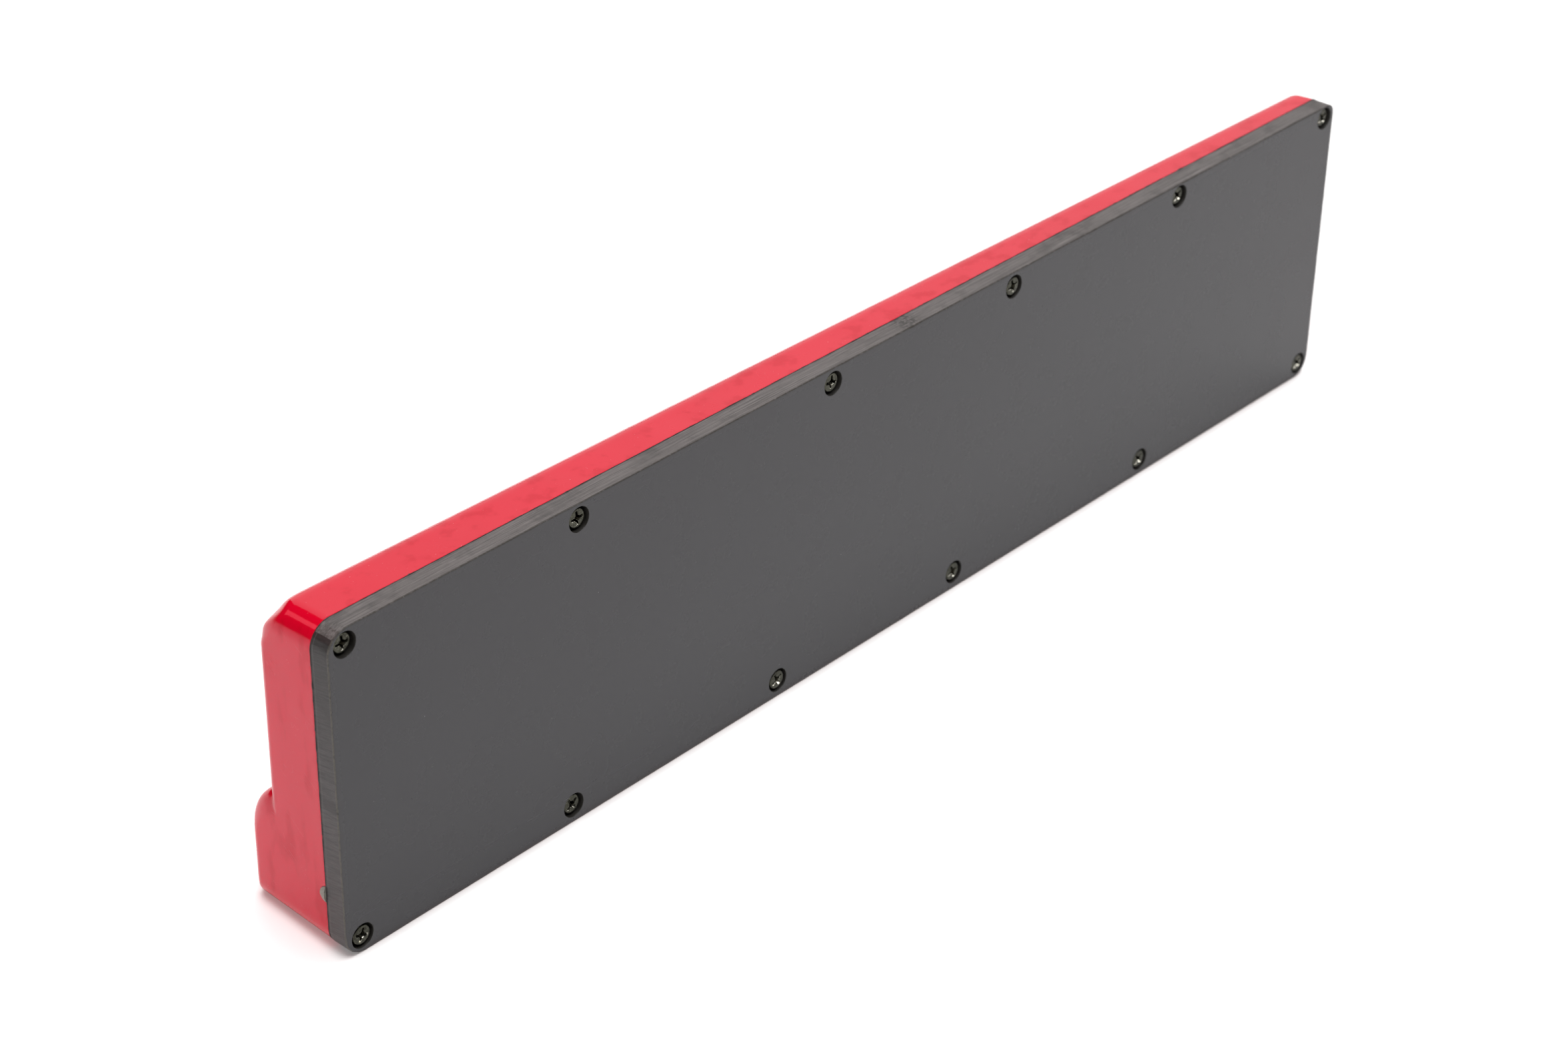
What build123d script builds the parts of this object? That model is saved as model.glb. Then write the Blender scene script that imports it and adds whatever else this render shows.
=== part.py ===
from build123d import *
import math
import os

# Shallow wedge housing closed at the back by a screwed-down plate.
#
# Parts frame: origin at the middle of the footprint, level with the plate's
# lower edge. +X runs along the length from the deep end (cable end) to the thin
# end, +Y from the plate to the front of the housing, +Z up with the object
# standing on its long lower edge. Lengths are in mm.
# Modelling is done with x = 0 at the plate's deep end and y = 0 on the plate's
# outer face; export() moves the parts to the frame above.
# "Depth" is the y of a point, measured from the plate's outer face.
# Sets of four corner radii run: low deep end, low thin end, top thin end, top deep end.

os.makedirs("parts", exist_ok=True)

# plate
LENGTH = 439.0            # along X
HEIGHT = 100.0            # along Z
PLATE = 6.4               # thickness
PLATE_RADII = (6.6, 6.8, 3.6, 6.6)
ARRIS = 0.25              # eased edge round both faces
BORE_R = 3.72             # counterbore
BORE_DEPTH = 3.4
CLEAR_R = 1.7             # clearance hole below the counterbore

# shell, outside
SEAL = 0.2                # bead between the plate and the shell's rim
RIM_Y = PLATE + SEAL      # depth of the rim
RIM_RADII = (5.4, 7.2, 3.4, 7.1)
LOW_EDGE = 1.2            # underside above the plate's lower edge, at the rim
LOW_RISE = 0.0119         # rise of the underside per mm of depth
TOP_FALL = 0.060          # fall of the top face per mm of depth
END_DRAFT = 0.0487        # inward draft of both end faces per mm of depth
UPPER_DEPTH = 29.0        # upper front face, at the deep end
DEPTH = 38.0              # lower front face, at the deep end
TAPER = 0.0176            # loss of depth per mm of length
TOP_R = 11.0              # rounding along the top front edge
STEP_R = 12.5             # rounding along the top of the deep lower section
STEP_Z = 26.7             # height where that rounding starts
STEP_CORNER = 5.5         # top corner radius of the lower section in the X-Z plane
FOOT_R = 1.8              # rounding along the bottom front edge
END_R = 3.6               # rounding along the vertical front edges
CROWN_R = 8.0             # the same rounding at the top of each section
UPPER_WIDENING = (80, 97)   # heights between which END_R grows to CROWN_R
LOWER_WIDENING = (26, 38)

# shell, inside
WALL = 3.0
BOSS_R = 3.4
BOSS_END = 15.6           # depth of the bosses' blind ends
PILOT_R = 1.62            # blind hole below the insert
PILOT_END = 13.8
MIN_CORNER_R = 0.8        # least radii left after insetting
MIN_FOOT_R = 0.6
END_R_LOSS = 0.6          # loss of END_R and CROWN_R per mm of inset
CROWN_R_LOSS = 0.8

# seal
SEAL_INSET = 0.35         # outer edge of the bead inside the rim's outline
SEAL_BOSS_R = BOSS_R - 0.4

# cable notch in the rim at the deep end: a circle along X, centred inside the
# plate's thickness so that a little less than half of it bites the shell
NOTCH_Y = 6.1
NOTCH_Z = 18.3
NOTCH_R = 2.6

# cable plug
PLUG_R = NOTCH_R - 0.05
PLUG_X = 0.35
PLUG_LEN = WALL + 1.2
COLLAR_R = PLUG_R + 1.6
COLLAR_X = WALL + 0.25
COLLAR_T = 1.5

# pan head screws and threaded inserts
HEAD_R = 3.0
HEAD_T = 2.2
HEAD_ROUND = 0.95
SHANK_R = 1.5
SHANK_LEN = 10.0
TIP_CHAMFER = 0.5
RECESS_DEPTH = 1.45
RECESS_MOUTH = (3.9, 0.95)   # length and width of each slot of the cross
RECESS_FLOOR = (1.5, 0.55)
INSERT_R = 2.1            # hole for the insert
INSERT_LEN = 5.0
INSERT_FIT = 0.02         # clearance outside and inside the insert

# x, z, depth of the head's top below the plate face, turn of the recess in degrees
TOP_SCREWS = [
    (5.7, 95.2, 1.00, 2.0),
    (87.4, 95.1, 0.75, 5.0),
    (188.6, 95.1, 0.70, -8.0),
    (270.2, 95.1, 0.40, 15.0),
    (353.3, 95.7, 0.80, 40.0),
    (433.7, 95.9, 0.80, 35.0),
]
LOW_SCREWS = [
    (5.8, 5.1, 0.30, -20.0),
    (83.4, 5.5, 0.75, 38.0),
    (167.2, 5.6, 0.25, 30.0),
    (247.9, 5.8, 0.40, 20.0),
    (343.0, 5.4, 0.40, 38.0),
    (433.6, 5.0, 0.30, 40.0),
]
SCREW_GROUPS = {
    "corner": [TOP_SCREWS[0], TOP_SCREWS[-1], LOW_SCREWS[0], LOW_SCREWS[-1]],
    "top_edge": TOP_SCREWS[1:-1],
    "low_edge": LOW_SCREWS[1:-1],
}

HALF_DEPTH = 18.956       # half the overall depth, at the deep end's rounded front corner

# overruns of the construction solids past the housing
FAR_Y = 80.0
SPARE = 20
SPARE_X = 60
STACK_TOP = 130

# plane directions: (x, z) for outlines, (y, z) for side profiles
AHEAD, BACK, UP, DOWN = (1, 0), (-1, 0), (0, 1), (0, -1)
BULGE = 1 - math.sqrt(0.5)   # sharp corner to mid-arc, per axis and unit radius
DEEP_END, THIN_END = 1, -1


def export(shape, name):
    """Move a shape to the parts frame and write its file."""
    moved = shape.moved(Location((-LENGTH / 2, -HALF_DEPTH, 0)))
    export_step(moved, f"parts/{name}.step")


# ---- faces from lines and arcs ----

def closed_face(steps, to_vector):
    """Face inside a closed run of steps: (end,) is a line, (middle, end) an arc."""
    edges = []
    start = steps[-1][-1]
    for step in steps:
        points = [to_vector(*point) for point in (start, *step)]
        edges.append(Line(*points) if len(step) == 1 else ThreePointArc(*points))
        start = step[-1]
    return Face(Wire(edges))


def rounded(corner, radius, arrive, leave):
    """Steps through a rounded right angle: the line up to it, then its arc."""
    def offset(before, after):
        return tuple(c - before * a + after * b for c, a, b in zip(corner, arrive, leave))

    middle = offset(radius * BULGE, radius * BULGE)
    return [(offset(radius, 0),), (middle, offset(0, radius))]


def outline(x0, x1, z0, z1, radii, y):
    """Rounded rectangle in the X-Z plane at depth y."""
    low_deep, low_thin, top_thin, top_deep = radii
    steps = [
        *rounded((x1, z0), low_thin, AHEAD, UP),
        *rounded((x1, z1), top_thin, UP, BACK),
        *rounded((x0, z1), top_deep, BACK, DOWN),
        *rounded((x0, z0), low_deep, DOWN, AHEAD),
    ]
    return closed_face(steps, lambda x, z: Vector(x, y, z))


def shrink(radii, inset):
    return tuple(max(radius - inset, MIN_CORNER_R) for radius in radii)


# ---- rods along Y and X ----

def facing_front(x, y, z):
    """X-Z plane through a point, with its normal along +Y."""
    return Plane(origin=(x, y, z), x_dir=(1, 0, 0), z_dir=(0, 1, 0))


def rod(x, z, radius, y0, y1):
    """Cylinder along Y from depth y0 to y1."""
    return extrude(facing_front(x, y0, z) * Circle(radius), amount=y1 - y0)


def notch_rod(x, radius, length):
    """Cylinder along +X on the notch's axis, starting at x."""
    start = Plane(origin=(x, NOTCH_Y, NOTCH_Z), x_dir=(0, 1, 0), z_dir=(1, 0, 0))
    return extrude(start * Circle(radius), amount=length)


def drill(shape, *holes):
    """Cut holes, each (radius, y0, y1), on every screw axis."""
    for x, z, _, _ in TOP_SCREWS + LOW_SCREWS:
        for hole in holes:
            shape -= rod(x, z, *hole)
    return shape


# ---- shell form, inset by a wall thickness where asked ----

def end_x(y, inset, end):
    """X of an end face at depth y."""
    inward = END_DRAFT * (y - RIM_Y) + inset
    return inward if end == DEEP_END else LENGTH - inward


def underside_z(y, inset):
    return LOW_EDGE + LOW_RISE * (y - RIM_Y) + inset


def topside_z(rim_top, y, inset):
    return rim_top - TOP_FALL * (y - RIM_Y) - inset


def drafted(rim_top, radii, inset, y_start):
    """Prism of the shell's outline with draft on all four sides."""
    faces = [
        outline(
            end_x(y, inset, DEEP_END), end_x(y, inset, THIN_END),
            underside_z(y, inset), topside_z(rim_top, y, inset),
            shrink(radii, inset), y,
        )
        for y in (y_start, FAR_Y)
    ]
    return loft(faces, ruled=True)


def side_prism(front, z_high):
    """Y-Z profile with the given front steps, run along X and turned by the taper."""
    first_y, last_y = front[0][-1][0], front[-1][-1][0]
    steps = [
        ((first_y, -SPARE),),
        *front,
        ((last_y, z_high),),
        ((-SPARE, z_high),),
        ((-SPARE, -SPARE),),
    ]
    face = closed_face(steps, lambda y, z: Vector(-SPARE_X, y, z))
    swept = extrude(face, amount=LENGTH + 2 * SPARE_X, dir=(1, 0, 0))
    return swept.rotate(Axis((0, 0, 0), (0, 0, 1)), -math.degrees(math.atan(TAPER)))


def upper_profile(inset):
    top = topside_z(HEIGHT, UPPER_DEPTH, inset)
    front = rounded((UPPER_DEPTH - inset, top), TOP_R - inset, UP, BACK)
    return side_prism(front, HEIGHT + SPARE)


def lower_profile(inset):
    y = DEPTH - inset
    step_radius = STEP_R - inset
    foot_radius = max(FOOT_R - inset, MIN_FOOT_R)
    top = STEP_Z + step_radius
    front = [
        *rounded((y, underside_z(DEPTH, inset)), foot_radius, AHEAD, UP),
        *rounded((y, top), step_radius, UP, BACK),
    ]
    return side_prism(front, top + SPARE)


def plan_corner(front_y, radius, inset, end):
    """Start (on the end face), middle and end (on the front) of a front corner's arc."""
    # depth where the drafted end meets the tapered front, found by iteration
    y = front_y
    for _ in range(20):
        y = front_y - TAPER * end_x(y, inset, end)
    x = end_x(y, inset, end)

    end_slope, front_slope = math.atan(END_DRAFT), math.atan(TAPER)
    angle = math.pi / 2 + end_slope - end * front_slope
    tangent = radius / math.tan(angle / 2)
    on_end = (x - end * tangent * math.sin(end_slope), y - tangent * math.cos(end_slope))
    on_front = (
        x + end * tangent * math.cos(front_slope),
        y - end * tangent * math.sin(front_slope),
    )
    to_mid_x = (on_end[0] + on_front[0]) / 2 - x
    to_mid_y = (on_end[1] + on_front[1]) / 2 - y
    scale = (radius / math.sin(angle / 2) - radius) / math.hypot(to_mid_x, to_mid_y)
    return on_end, (x + to_mid_x * scale, y + to_mid_y * scale), on_front


def plan_face(depth, radius, inset, y_start, z):
    """X-Y profile with rounded front corners at height z."""
    deep_side, deep_middle, deep_front = plan_corner(depth - inset, radius, inset, DEEP_END)
    thin_side, thin_middle, thin_front = plan_corner(depth - inset, radius, inset, THIN_END)
    steps = [
        ((end_x(y_start, inset, THIN_END), y_start),),
        (thin_side,),
        (thin_middle, thin_front),
        (deep_front,),
        (deep_middle, deep_side),
        ((end_x(y_start, inset, DEEP_END), y_start),),
    ]
    return closed_face(steps, lambda x, y: Vector(x, y, z))


def plan_stack(depth, widening, inset, y_start):
    """The X-Y profile run up the height, its front corners widening on the way."""
    z_low, z_high = widening
    small = END_R - END_R_LOSS * inset
    large = CROWN_R - CROWN_R_LOSS * inset

    def face(radius, z):
        return plan_face(depth, radius, inset, y_start, z)

    low = extrude(face(small, -SPARE), amount=z_low + SPARE, dir=(0, 0, 1))
    middle = loft([face(small, z_low), face(large, z_high)], ruled=True)
    top = extrude(face(large, z_high), amount=STACK_TOP - z_high, dir=(0, 0, 1))
    return low + middle + top


def body(inset, y_start):
    """Thin upper section plus deep lower section."""
    upper = drafted(HEIGHT, RIM_RADII, inset, y_start) & upper_profile(inset)
    upper = upper & plan_stack(UPPER_DEPTH, UPPER_WIDENING, inset, y_start - 1)
    radii = (*RIM_RADII[:2], STEP_CORNER, STEP_CORNER)
    lower = drafted(STEP_Z + STEP_R, radii, inset, y_start) & lower_profile(inset)
    lower = lower & plan_stack(DEPTH, LOWER_WIDENING, inset, y_start - 1)
    return upper + lower


# ---- parts ----

def rear_cover():
    """Sheet with rounded corners and counterbored screw holes."""
    face = outline(0, LENGTH, 0, HEIGHT, PLATE_RADII, 0)
    cover = extrude(face, amount=PLATE, dir=(0, 1, 0))
    cover = fillet(cover.edges().filter_by(Plane.XZ), ARRIS)
    return drill(cover, (BORE_R, -1, BORE_DEPTH), (CLEAR_R, -1, PLATE + 1))


def front_shell(notch):
    """Hollow moulding, open towards the plate, with a boss per screw."""
    outer = body(0.0, RIM_Y)
    cavity = drill(body(WALL, RIM_Y - 2.0), (BOSS_R, RIM_Y - 3, BOSS_END))
    shell = drill(
        outer - cavity,
        (INSERT_R, RIM_Y - 1, RIM_Y + INSERT_LEN),
        (PILOT_R, RIM_Y - 1, PILOT_END),
    )
    return shell - notch


def rim_seal(notch):
    """Thin bead on the shell's rim, open at the cable notch."""
    def rim_prism(inset, y, thickness):
        face = outline(
            inset, LENGTH - inset, LOW_EDGE + inset, HEIGHT - inset,
            shrink(RIM_RADII, inset), y,
        )
        return extrude(face, amount=thickness, dir=(0, 1, 0))

    band = rim_prism(SEAL_INSET, PLATE, SEAL)
    gap = drill(rim_prism(WALL, PLATE - 1, SEAL + 2), (SEAL_BOSS_R, PLATE - 2, RIM_Y + 2))
    return drill(band - gap, (INSERT_R, PLATE - 1, RIM_Y + 1)) - notch


def cable_plug():
    """Part-round stopper in the notch with a collar inside the wall."""
    plug = notch_rod(PLUG_X, PLUG_R, PLUG_LEN)
    plug += notch_rod(COLLAR_X, COLLAR_R, COLLAR_T)
    # only what lies in front of the plate is kept
    keep = Pos(5, PLATE + 10, NOTCH_Z) * Box(20, 20, 30)
    return plug & keep


def cross_screw(x, z, sink, turn):
    """Pan head screw along +Y with a cross recess in the head."""
    shank_y = sink + HEAD_T
    head = rod(x, z, HEAD_R, sink, shank_y)
    head = fillet(head.edges().sort_by(Axis.Y)[0], HEAD_ROUND)
    screw = head + rod(x, z, SHANK_R, shank_y, shank_y + SHANK_LEN)
    tip = screw.edges().filter_by(GeomType.CIRCLE).sort_by(Axis.Y)[-1]
    screw = chamfer(tip, TIP_CHAMFER)
    mouth = facing_front(x, sink - 0.01, z)
    floor = facing_front(x, sink + RECESS_DEPTH, z)
    for angle in (turn, turn + 90):
        wide = mouth * (Rot(0, 0, angle) * Rectangle(*RECESS_MOUTH))
        narrow = floor * (Rot(0, 0, angle) * Rectangle(*RECESS_FLOOR))
        screw -= loft([wide, narrow], ruled=True)
    return screw


def insert(x, z):
    """Plain sleeve in a boss, flush with the rim."""
    end_y = RIM_Y + INSERT_LEN
    sleeve = rod(x, z, INSERT_R - INSERT_FIT, RIM_Y, end_y)
    return sleeve - rod(x, z, SHANK_R + INSERT_FIT, RIM_Y - 1, end_y + 1)


cable_notch = notch_rod(-1, NOTCH_R, WALL + 4)
export(rear_cover(), "rear_cover")
export(front_shell(cable_notch), "front_shell")
export(rim_seal(cable_notch), "rim_seal")
export(cable_plug(), "cable_plug")
for group, screws in SCREW_GROUPS.items():
    export(Compound(children=[cross_screw(*screw) for screw in screws]), f"{group}_screws")
    export(Compound(children=[insert(x, z) for x, z, _, _ in screws]), f"{group}_inserts")
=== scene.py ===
"""A long, shallow red housing closed by a dark rear cover that is held by twelve screws.

The cover's outer face looks along -y and the front shell lies behind it, towards +y.
The cover is long in x and stands upright in z. "Left" is the end at x = 0 and "low" is
the edge at z = 0. The left end has a rubber plug in a round notch of the shell.
"""
import math

import bmesh
import bpy
import numpy as np
from mathutils import Matrix, Vector, geometry


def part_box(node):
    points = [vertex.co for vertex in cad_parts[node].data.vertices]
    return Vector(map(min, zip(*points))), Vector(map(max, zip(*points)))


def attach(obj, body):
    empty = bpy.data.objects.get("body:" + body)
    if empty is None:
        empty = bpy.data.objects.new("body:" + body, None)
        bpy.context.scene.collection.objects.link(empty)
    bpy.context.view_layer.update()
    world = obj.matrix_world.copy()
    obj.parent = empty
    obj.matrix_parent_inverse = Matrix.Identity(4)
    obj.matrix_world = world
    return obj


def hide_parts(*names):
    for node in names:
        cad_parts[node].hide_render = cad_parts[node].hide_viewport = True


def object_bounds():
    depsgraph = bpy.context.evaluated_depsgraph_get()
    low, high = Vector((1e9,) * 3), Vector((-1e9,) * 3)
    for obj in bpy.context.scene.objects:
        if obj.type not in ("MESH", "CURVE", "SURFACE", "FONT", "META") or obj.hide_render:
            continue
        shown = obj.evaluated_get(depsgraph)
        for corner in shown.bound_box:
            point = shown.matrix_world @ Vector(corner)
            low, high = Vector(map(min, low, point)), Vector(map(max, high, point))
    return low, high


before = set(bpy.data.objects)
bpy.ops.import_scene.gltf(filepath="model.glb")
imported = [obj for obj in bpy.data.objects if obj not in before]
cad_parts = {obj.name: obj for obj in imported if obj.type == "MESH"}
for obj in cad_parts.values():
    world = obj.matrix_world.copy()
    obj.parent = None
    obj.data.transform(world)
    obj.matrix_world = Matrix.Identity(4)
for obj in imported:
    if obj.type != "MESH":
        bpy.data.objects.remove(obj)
cad_lo, cad_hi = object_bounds()

# Meshes are worked out in mm: x along the cover, y into the housing from the
# cover's outer face, z up from the cover's lower edge.
MM = 0.001
plate_lo, plate_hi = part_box("rear_cover")
shell_lo, shell_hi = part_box("front_shell")
ORIGIN = np.array(plate_lo)
LENGTH = (plate_hi.x - plate_lo.x) / MM
HEIGHT = (plate_hi.z - plate_lo.z) / MM
THICK = (plate_hi.y - plate_lo.y) / MM
RIM_Y = (shell_lo.y - plate_lo.y) / MM      # the shell's rim, just behind the cover
RIM_Z = (shell_lo.z - plate_lo.z) / MM      # the shell's lower edge

# Screws: x, z, depth of the head below the cover's face, turn of the recess in degrees
TOP_ROW = [
    (87.4, 95.1, 0.75, 5), (188.6, 95.1, 0.70, -8), (270.2, 95.1, 0.40, 15),
    (353.3, 95.7, 0.80, 40)]
LOW_ROW = [
    (83.4, 5.5, 0.75, 38), (167.2, 5.6, 0.25, 30), (247.9, 5.8, 0.40, 20),
    (343.0, 5.4, 0.40, 38)]
CORNERS = [
    (5.7, 95.2, 1.00, 2), (433.7, 95.9, 0.80, 35), (5.8, 5.1, 0.30, -20),
    (433.6, 5.0, 0.30, 40)]
SCREWS = TOP_ROW + LOW_ROW + CORNERS
BORE_R, BORE_DEPTH, CLEAR_R = 3.72, 3.4, 1.7     # counterbore and the clearance hole below it
NOTCH_Y, NOTCH_Z, NOTCH_R = 6.1, 18.3, 2.6       # notch in the left end


# ----------------------------------------------------------------------------
# mesh helpers
# ----------------------------------------------------------------------------
def hash01(cell, seed):
    value = np.sin(np.asarray(cell, float) * 127.1 + seed * 311.7 + 17.3) * 43758.5453
    return value - np.floor(value)


def wobble(at, seed):
    """Smooth value noise on a line, -1..1."""
    at = np.asarray(at, float)
    cell = np.floor(at)
    part = at - cell
    part = part * part * (3 - 2 * part)
    return 2 * (hash01(cell, seed) * (1 - part) + hash01(cell + 1, seed) * part) - 1


def bell(at, centre, width):
    return np.exp(-((at - centre) / width) ** 2)


def shade_smooth(mesh, sharp):
    """Smooth shading, with edges steeper than sharp degrees kept crisp."""
    mesh.polygons.foreach_set("use_smooth", [True] * len(mesh.polygons))
    mesh.set_sharp_from_angle(angle=math.radians(sharp))
    mesh.update()


def make_mesh(name, points, faces, materials, index=None, sharp=38.0):
    mesh = bpy.data.meshes.new(name)
    places = np.asarray(points, float) * MM + ORIGIN
    mesh.from_pydata(places.tolist(), [], [tuple(int(v) for v in face) for face in faces])
    for material in materials:
        mesh.materials.append(material)
    if index is not None:
        mesh.polygons.foreach_set("material_index", np.asarray(index, np.int32))
    bm = bmesh.new()
    bm.from_mesh(mesh)
    bmesh.ops.recalc_face_normals(bm, faces=bm.faces[:])
    bm.to_mesh(mesh)
    bm.free()
    shade_smooth(mesh, sharp)
    made = bpy.data.objects.new(name, mesh)
    bpy.context.scene.collection.objects.link(made)
    return made


def turn_angles(count):
    return np.linspace(0, 2 * math.pi, count, endpoint=False)


def circle(centre, radius, depth, angles):
    """Points round the y axis through centre (x, z), at y = depth."""
    return np.stack([centre[0] + radius * np.cos(angles), np.broadcast_to(depth, angles.shape),
                     centre[1] + radius * np.sin(angles)], -1)


def ring_faces(rings, count, base=0, closed=False):
    """Quads between successive rings of count points; closed joins the last to the first."""
    faces = []
    for k in range(rings if closed else rings - 1):
        here, there = base + k * count, base + (k + 1) % rings * count
        for i in range(count):
            j = (i + 1) % count
            faces.append((here + i, here + j, there + j, there + i))
    return faces


def capped_faces(rings, count, base=0):
    """Quads between the rings, then the first and the last cap."""
    last = base + (rings - 1) * count
    return ring_faces(rings, count, base) + [tuple(base + i for i in range(count)),
                                             tuple(last + i for i in range(count))]


def lathe(profile, count, centre, base=0):
    """Capped solid of revolution about +y; profile: (radius, y)."""
    angles = turn_angles(count)
    points = [circle(centre, radius, y, angles) for radius, y in profile]
    return np.concatenate(points), capped_faces(len(profile), count, base)


def rounded_loop(z0, radii, step):
    """Rounded rectangle as long as the cover, from z0 to its top edge.
    radii: low left, low right, top right, top left.
    Returns points (x, z), outward normals, and distance along the loop."""
    arc = 44                                # segments in each corner
    low_l, low_r, top_r, top_l = radii
    corners = [(low_l, z0 + low_l, low_l, 180), (LENGTH - low_r, z0 + low_r, low_r, 270),
               (LENGTH - top_r, HEIGHT - top_r, top_r, 0), (top_l, HEIGHT - top_l, top_l, 90)]
    points, normals = [], []
    for k, (x, z, radius, start) in enumerate(corners):
        for i in range(arc + 1):
            angle = math.radians(start + 90 * i / arc)
            points.append((x + radius * math.cos(angle), z + radius * math.sin(angle)))
            normals.append((math.cos(angle), math.sin(angle)))
        next_x, next_z, next_r, next_start = corners[(k + 1) % 4]
        angle = math.radians(next_start)
        here = np.array(points[-1])
        there = np.array((next_x + next_r * math.cos(angle), next_z + next_r * math.sin(angle)))
        count = max(2, int(np.linalg.norm(there - here) / step))
        for i in range(1, count):
            points.append(tuple(here + (there - here) * i / count))
            normals.append(normals[-1])
    points, normals = np.array(points), np.array(normals)
    gaps = np.linalg.norm(np.roll(points, -1, 0) - points, axis=1)
    return points, normals, np.concatenate([[0], np.cumsum(gaps)[:-1]])


# ----------------------------------------------------------------------------
# front shell: deep moulding with a rounded top edge and a stepped lower bulge
# ----------------------------------------------------------------------------
RIM_R = (5.4, 7.2, 3.4, 7.1)                # low left, low right, top right, top left
UPPER, DEEP = 29.0, 38.0                    # depth at the left end, above and below the step
TAPER = 0.0176                              # loss of depth per mm of x
STEP_R, STEP_Z = 12.5, 26.7                 # rounding of the bulge, and where it starts
STEP_END_R = 5.45                           # how the step rounds down at both ends
STEP_BLEND = 1.1                            # depth difference over which the two levels blend
END_R, TOP_R, FOOT_R = 3.6, 15.0, 1.82      # width of the rounding of each edge, in the XZ plane
TOP_Y = 9.43                                # depth of the top edge's elliptical rounding
CORNER_BLEND = 4.7                          # how late the end's rounding turns into the top's
PINCH, PINCH_R = 2.0, 3.83                  # easing of the left end's upper front corner
PINCH_X, PINCH_Z = 2.5, 97.5
INNER_PINCH, INNER_PINCH_R = 6.0, 9.0       # extra easing of the inner skin at both ends
DRAFT, LOW_RISE, TOP_FALL = 0.0487, 0.0119, 0.060     # inward lean per mm of depth
WALL = 3.0
LOW_BAND = 12                               # below this z the inner skin's rows are respaced
MID_X = 219.5
FAN_STEPS = 30
SHELL_SHARP = 42


def corner_ease(x, z, centre_x, radius):
    return np.exp(-((x - centre_x) ** 2 + (z - PINCH_Z) ** 2) / radius ** 2)


def front_depth(x, z, inset):
    """Depth of the front surface, inset by inset."""
    upper = UPPER - TAPER * x - inset
    from_end = np.minimum(x - inset, LENGTH - inset - x)
    end_r = STEP_END_R - inset
    in_round = np.clip(end_r - from_end, 0, end_r)
    drop = end_r - np.sqrt(np.maximum(end_r * end_r - in_round ** 2, 0))
    bulge_r = STEP_R - inset
    above = np.clip(z + drop - STEP_Z, 0, None)
    lower = (DEEP - STEP_R - TAPER * x
             + np.sqrt(np.maximum(bulge_r * bulge_r - above * above, 0)))
    near = np.clip(STEP_BLEND - np.abs(upper - lower), 0, None) / STEP_BLEND
    ease = PINCH * corner_ease(x, z, PINCH_X, PINCH_R)
    if inset:                               # the inner skin keeps clear of the eased corners
        ease = ease + INNER_PINCH * (corner_ease(x, z, PINCH_X, INNER_PINCH_R)
                                     + corner_ease(x, z, LENGTH - PINCH_X, INNER_PINCH_R))
    return np.maximum(upper, lower) + near * near * STEP_BLEND * 0.25 - ease


def drafted(x, y, z):
    """Leans the walls inwards with depth behind the rim."""
    behind = y - RIM_Y
    rise = behind * (LOW_RISE * (1 - z / HEIGHT) - TOP_FALL * z / HEIGHT)
    return np.stack((x + DRAFT * behind * (1 - 2 * x / LENGTH), y, z + rise), -1)


def graded(start, stop, rules):
    """Values from start to stop; rules: (until, step)."""
    out = [start]
    for until, step in rules:
        until = min(until, stop)
        count = max(1, int(round((until - out[-1]) / step)))
        first = out[-1]
        out += [first + (until - first) * (i + 1) / count for i in range(count)]
    return np.array(out)


def corner_setback(at, low, high, low_r, high_r):
    """How far a rounded corner sets the outline back at a place along one side."""
    if at < low + low_r:
        return low_r - math.sqrt(max(low_r * low_r - (low + low_r - at) ** 2, 0))
    if at > high - high_r:
        return high_r - math.sqrt(max(high_r * high_r - (at - high + high_r) ** 2, 0))
    return 0.0


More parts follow.
